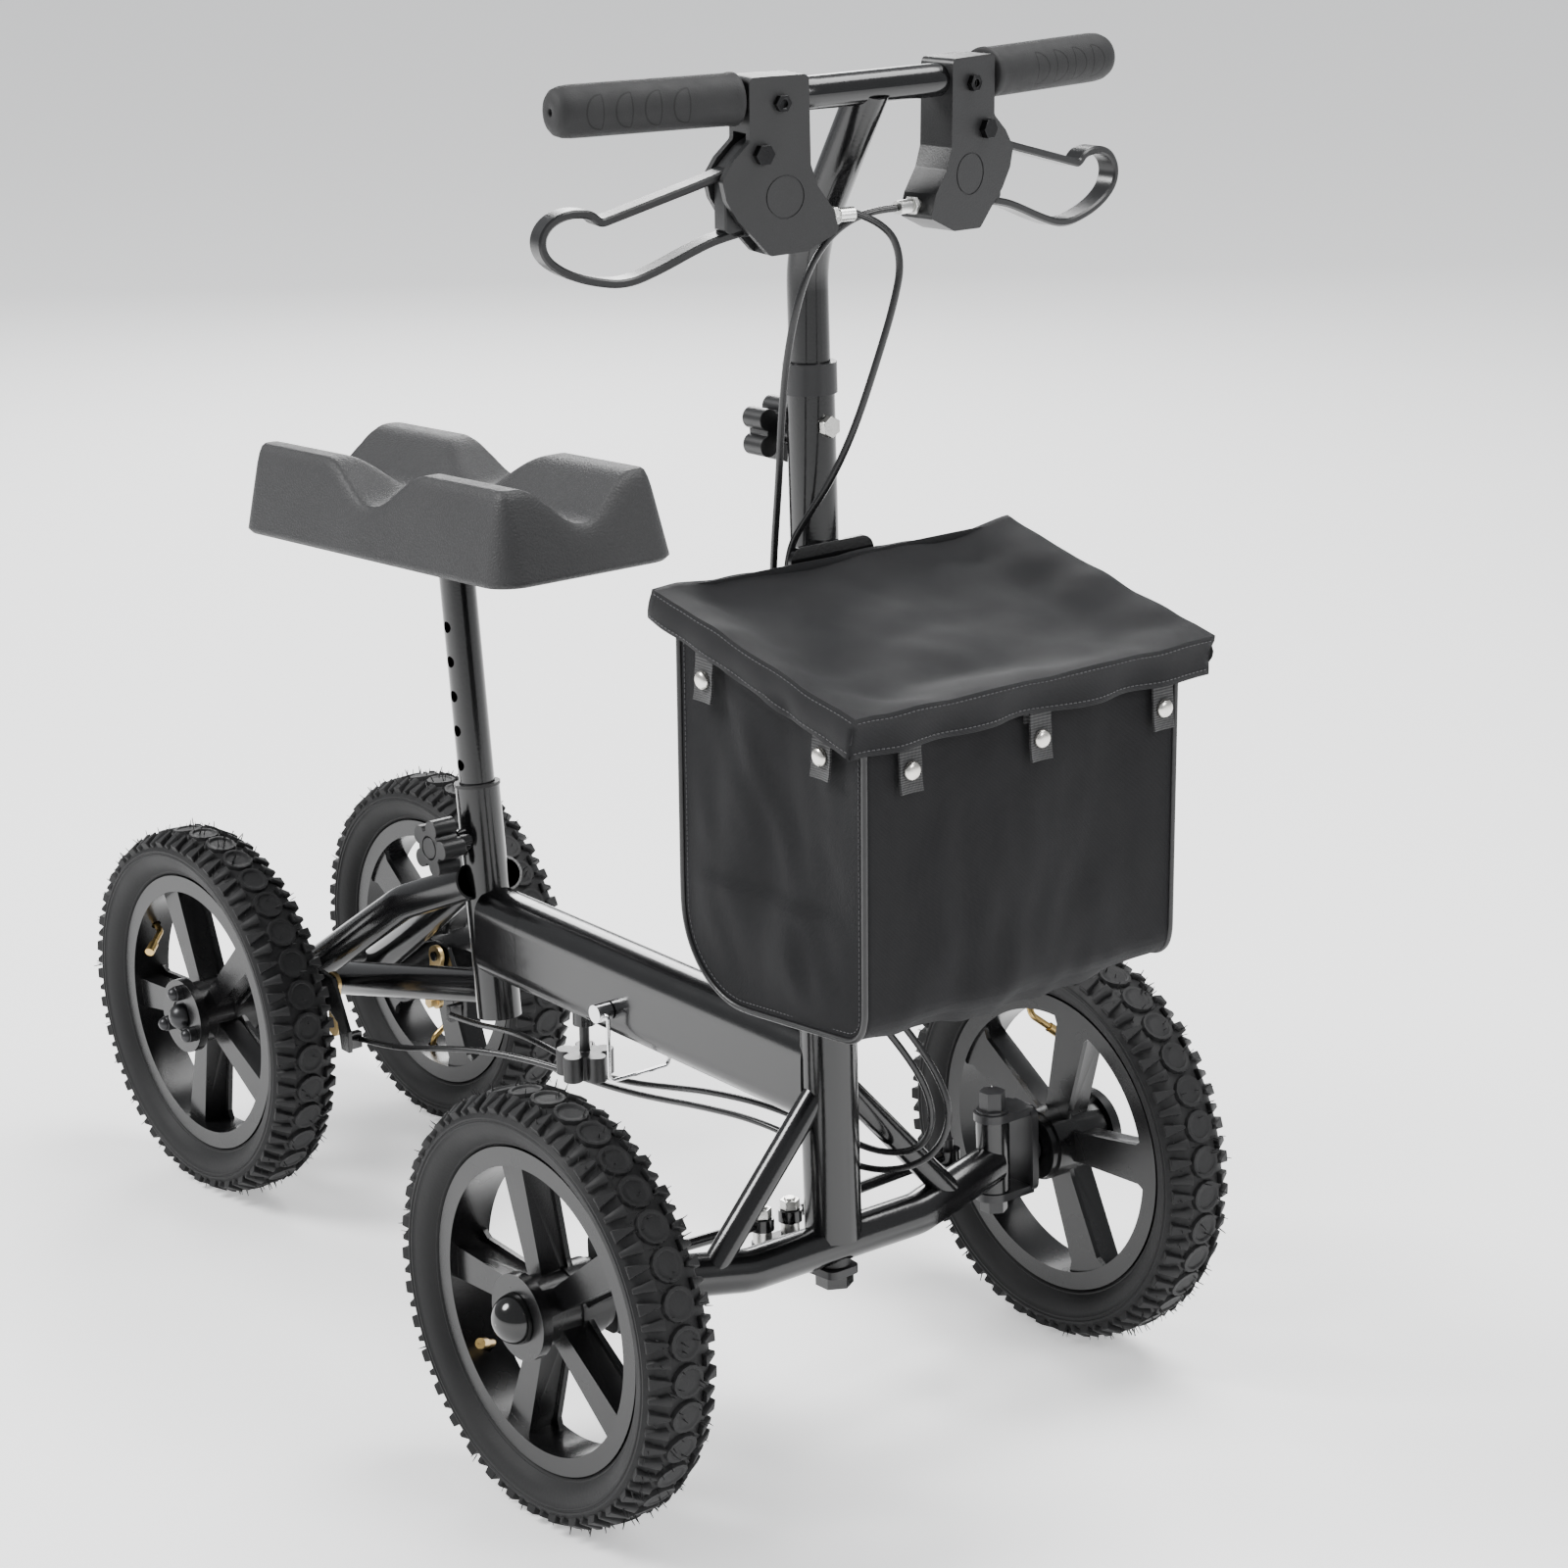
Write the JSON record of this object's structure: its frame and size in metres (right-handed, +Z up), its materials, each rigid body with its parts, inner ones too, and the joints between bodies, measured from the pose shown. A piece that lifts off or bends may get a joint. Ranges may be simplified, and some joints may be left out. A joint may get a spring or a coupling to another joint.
{
  "type": "knee scooter",
  "caption": "Height-adjustable knee scooter: padded knee rest on a post, tiller with brake levers steering a front axle through tie rods, drum-braked rear wheels and a lidded front bag.",
  "frame": {"origin": "on the floor, in the middle of the wheels' width, midway between the rearmost point of the rear tyres and the foremost point of the bag's lid", "axes": "+X forwards along the frame, +Y to the rider's left, +Z up"},
  "size_m": [1.031, 0.566, 0.9735],
  "materials": {
    "frame_paint": "gloss",
    "hoop_paint": "satin",
    "bush_plastic": "satin",
    "collar_plastic": "satin",
    "zinc": "satin",
    "knuckle_paint": "satin",
    "gold_zinc": "satin",
    "housing_plastic": "satin",
    "lever_paint": "gloss",
    "grip_rubber": "matte",
    "knob_plastic": "satin",
    "pin_chrome": "polished",
    "bag_fabric": "matte",
    "cable_jacket": "satin",
    "pad_vinyl": "satin",
    "tyre_rubber": "matte",
    "rim_plastic": "gloss",
    "tube_rubber": "matte",
    "hub_steel": "satin"
  },
  "bodies": {
    "frame": {"main_tube": "frame_paint", "spigot_tube": "frame_paint", "head_tube": "frame_paint", "frame_bushes": "bush_plastic", "front_beam": "frame_paint", "front_braces": "frame_paint", "kingpin_housings": "frame_paint", "seat_tube": "frame_paint", "rear_upper_stays": "frame_paint", "rear_lower_stay": "frame_paint", "rear_axle_tube": "frame_paint", "rear_axle": "zinc", "brake_cables_lower": "cable_jacket"},
    "column": {"steering_column": "frame_paint", "column_collar": "collar_plastic", "steering_arm": "frame_paint", "column_bolts": "zinc", "basket_bracket": "frame_paint", "basket_hoop": "hoop_paint", "basket_bag": "bag_fabric", "bag_snaps": "zinc", "brake_cables_upper": "cable_jacket"},
    "lid": {"bag_lid": "bag_fabric"},
    "tiller": {"stem_tube": "frame_paint", "handlebar": "frame_paint", "grips": "grip_rubber", "lever_housings": "housing_plastic", "lever_hardware": "zinc"},
    "lever_right": {"brake_lever_right": "lever_paint"},
    "lever_left": {"brake_lever_left": "lever_paint"},
    "column_clamp_knob": {"column_knob": "knob_plastic"},
    "seat_clamp_knob": {"seat_knob": "knob_plastic"},
    "frame_clamp_knob": {"tube_knob": "knob_plastic"},
    "pin": {"lock_pin": "pin_chrome"},
    "bail": {"pin_bail": "pin_chrome"},
    "seat": {"seat_post": "frame_paint", "knee_pad": "pad_vinyl", "seat_screws": "zinc"},
    "knuckle_right": {"knuckle_right": "knuckle_paint"},
    "knuckle_left": {"knuckle_left": "knuckle_paint"},
    "tie_rod_right": {"tie_rod_right": "frame_paint"},
    "tie_rod_left": {"tie_rod_left": "frame_paint"},
    "drum_arm_right": {"brake_arm_right": "gold_zinc"},
    "drum_arm_left": {"brake_arm_left": "gold_zinc"},
    "wheel_front_right": {"tyre_front_right": "tyre_rubber", "rim_front_right": "rim_plastic", "inner_tube_front_right": "tube_rubber", "hub_parts_front_right": "hub_steel"},
    "wheel_front_left": {"tyre_front_left": "tyre_rubber", "rim_front_left": "rim_plastic", "inner_tube_front_left": "tube_rubber", "hub_parts_front_left": "hub_steel"},
    "wheel_rear_right": {"tyre_rear_right": "tyre_rubber", "rim_rear_right": "rim_plastic", "inner_tube_rear_right": "tube_rubber", "hub_parts_rear_right": "hub_steel"},
    "wheel_rear_left": {"tyre_rear_left": "tyre_rubber", "rim_rear_left": "rim_plastic", "inner_tube_rear_left": "tube_rubber", "hub_parts_rear_left": "hub_steel"}
  },
  "joints": [
    {"name": "steering", "type": "hinge", "parent": "frame", "child": "column", "pos_m": [0.3015, 0, 0.161], "axis": [-0.0312, 0, 0.9995], "range_deg": [-30, 30], "deforming": ["brake_cables_lower"]},
    {"name": "tiller_height", "type": "slide", "parent": "column", "child": "tiller", "axis": [-0.0312, 0, 0.9995], "range_m": [-0.045, 0.075], "deforming": ["brake_cables_upper"]},
    {"name": "brake_lever_right", "type": "hinge", "parent": "tiller", "child": "lever_right", "pos_m": [0.33954, -0.09147, 0.923], "axis": [-0.9869, 0.1616, 0], "range_deg": [0, 14], "stiffness_Nm_per_rad": 1.2, "springref_deg": -14.32},
    {"name": "knuckle_right", "type": "hinge", "parent": "frame", "child": "knuckle_right", "pos_m": [0.28975, -0.163, 0.16063], "axis": [-0.0312, 0, 0.9995], "range_deg": [-30, 30]},
    {"name": "tie_rod_right", "type": "hinge", "parent": "column", "child": "tie_rod_right", "pos_m": [0.23636, -0.013, 0.13245], "axis": [-0.0312, 0, 0.9995], "range_deg": [-30, 30]},
    {"name": "front_wheel_right", "type": "hinge", "parent": "knuckle_right", "child": "wheel_front_right", "pos_m": [0.29, -0.235, 0.1525], "axis": [0, 1, 0], "continuous": true},
    {"name": "rear_wheel_right", "type": "hinge", "parent": "frame", "child": "wheel_rear_right", "pos_m": [-0.363, -0.1155, 0.1525], "axis": [0, 1, 0], "continuous": true},
    {"name": "drum_arm_right", "type": "hinge", "parent": "frame", "child": "drum_arm_right", "pos_m": [-0.279, -0.05, 0.183], "axis": [0, -1, 0], "range_deg": [0, 15]},
    {"name": "brake_lever_left", "type": "hinge", "parent": "tiller", "child": "lever_left", "pos_m": [0.33954, 0.09147, 0.923], "axis": [0.9869, 0.1616, 0], "range_deg": [0, 14], "stiffness_Nm_per_rad": 1.2, "springref_deg": -14.32},
    {"name": "knuckle_left", "type": "hinge", "parent": "frame", "child": "knuckle_left", "pos_m": [0.28975, 0.163, 0.16063], "axis": [-0.0312, 0, 0.9995], "range_deg": [-30, 30]},
    {"name": "tie_rod_left", "type": "hinge", "parent": "column", "child": "tie_rod_left", "pos_m": [0.23636, 0.013, 0.13245], "axis": [-0.0312, 0, 0.9995], "range_deg": [-30, 30]},
    {"name": "front_wheel_left", "type": "hinge", "parent": "knuckle_left", "child": "wheel_front_left", "pos_m": [0.29, 0.235, 0.1525], "axis": [0, 1, 0], "continuous": true},
    {"name": "rear_wheel_left", "type": "hinge", "parent": "frame", "child": "wheel_rear_left", "pos_m": [-0.363, 0.1155, 0.1525], "axis": [0, 1, 0], "continuous": true},
    {"name": "drum_arm_left", "type": "hinge", "parent": "frame", "child": "drum_arm_left", "pos_m": [-0.279, 0.05, 0.183], "axis": [0, -1, 0], "range_deg": [0, 15]},
    {"name": "bag_lid", "type": "hinge", "parent": "column", "child": "lid", "pos_m": [0.309, 0, 0.645], "axis": [0, -1, 0], "range_deg": [0, 75]},
    {"name": "seat_height", "type": "slide", "parent": "frame", "child": "seat", "axis": [-0.1099, 0, 0.9939], "range_m": [-0.09, 0.05]},
    {"name": "column_knob", "type": "hinge", "parent": "column", "child": "column_clamp_knob", "pos_m": [0.25409, 0, 0.71779], "axis": [-0.9995, 0, -0.0312], "continuous": true},
    {"name": "seat_knob", "type": "hinge", "parent": "frame", "child": "seat_clamp_knob", "pos_m": [-0.12985, -0.03, 0.33512], "axis": [0, -1, 0], "continuous": true},
    {"name": "frame_knob", "type": "hinge", "parent": "frame", "child": "frame_clamp_knob", "pos_m": [0.0015, 0, 0.184], "axis": [0, 0, -1], "continuous": true},
    {"name": "lock_pin", "type": "hinge", "parent": "frame", "child": "pin", "pos_m": [0.0645, 0, 0.25], "axis": [0, 1, 0], "range_deg": [-35, 35]},
    {"name": "pin_bail", "type": "hinge", "parent": "pin", "child": "bail", "pos_m": [0.0645, -0.03, 0.25], "axis": [-1, 0, 0], "range_deg": [0, 100]}
  ],
  "couplings": [
    {"joint": "knuckle_right", "follows": "steering", "ratio": 1},
    {"joint": "tie_rod_right", "follows": "steering", "ratio": -1},
    {"joint": "drum_arm_right", "follows": "brake_lever_right", "ratio": 1},
    {"joint": "knuckle_left", "follows": "steering", "ratio": 1},
    {"joint": "tie_rod_left", "follows": "steering", "ratio": -1},
    {"joint": "drum_arm_left", "follows": "brake_lever_left", "ratio": 1}
  ]
}
